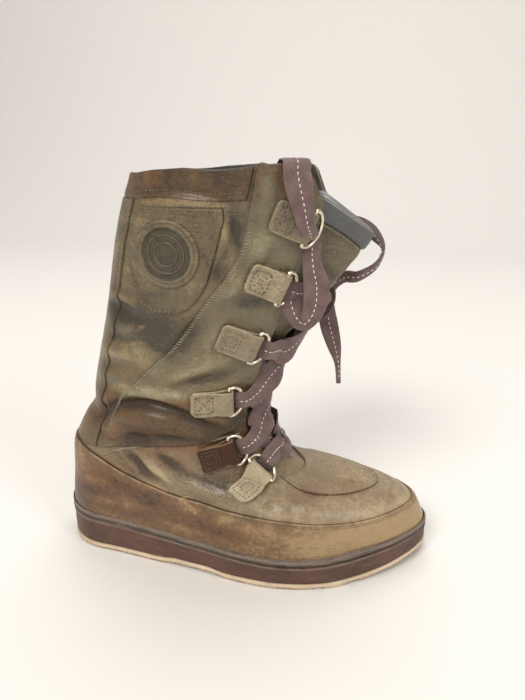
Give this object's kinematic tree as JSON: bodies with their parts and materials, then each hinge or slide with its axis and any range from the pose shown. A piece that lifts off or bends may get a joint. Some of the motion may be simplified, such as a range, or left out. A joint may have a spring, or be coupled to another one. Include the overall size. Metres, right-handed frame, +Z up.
{
  "type": "mukluk",
  "caption": "Tall lace-up mukluk for the right foot, with a leather shaft, D-ring lacing, folded tongue, raised toe apron, rand and rubber cup sole.",
  "frame": {"origin": "on the floor, in the middle of the heel's tread, under the shaft's back half", "axes": "+X towards the toe, +Z up, -Y towards the lateral (outer) side of the right foot"},
  "size_m": [0.2904, 0.1063, 0.3001],
  "materials": {
    "outsole": "matt, pale",
    "sidewall": "satin, brown",
    "bead": "matt, grey",
    "insole": "felt",
    "leather": "oiled, satin",
    "shaft leather": "oiled, satin",
    "brown leather": "oiled, worn",
    "padded band": "smooth, satin",
    "wire": "nickel plated",
    "webbing": "flat woven lace"
  },
  "bodies": {
    "root": {"outsole": "outsole", "sidewall": "sidewall", "bead": "bead", "insole": "insole", "upper": "leather", "tongue": "leather", "tongue_band": "padded band", "rand": "brown leather", "apron": "brown leather", "front_panel_lateral": "shaft leather", "front_panel_medial": "shaft leather", "back_stay": "brown leather", "collar_band": "shaft leather", "shield_patch": "shaft leather", "medallion": "shaft leather", "tab_lateral_1": "shaft leather", "tab_medial_1": "shaft leather", "tab_lateral_2": "shaft leather", "tab_medial_2": "shaft leather", "tab_lateral_3": "shaft leather", "tab_medial_3": "shaft leather", "tab_lateral_4": "shaft leather", "tab_medial_4": "shaft leather", "tab_lateral_5": "shaft leather", "tab_medial_5": "shaft leather", "tab_lateral_6": "shaft leather", "tab_medial_6": "shaft leather", "ring_lateral_1": "wire", "ring_medial_1": "wire", "ring_lateral_2": "wire", "ring_medial_2": "wire", "ring_lateral_3": "wire", "ring_medial_3": "wire", "ring_lateral_4": "wire", "ring_medial_4": "wire", "ring_lateral_5": "wire", "ring_medial_5": "wire", "ring_lateral_6": "wire", "ring_medial_6": "wire", "lace_crossings": "webbing", "lace_end_lateral": "webbing", "lace_end_medial": "webbing", "lace_run_lateral": "webbing", "lace_run_medial": "webbing"}
  },
  "joints": []
}
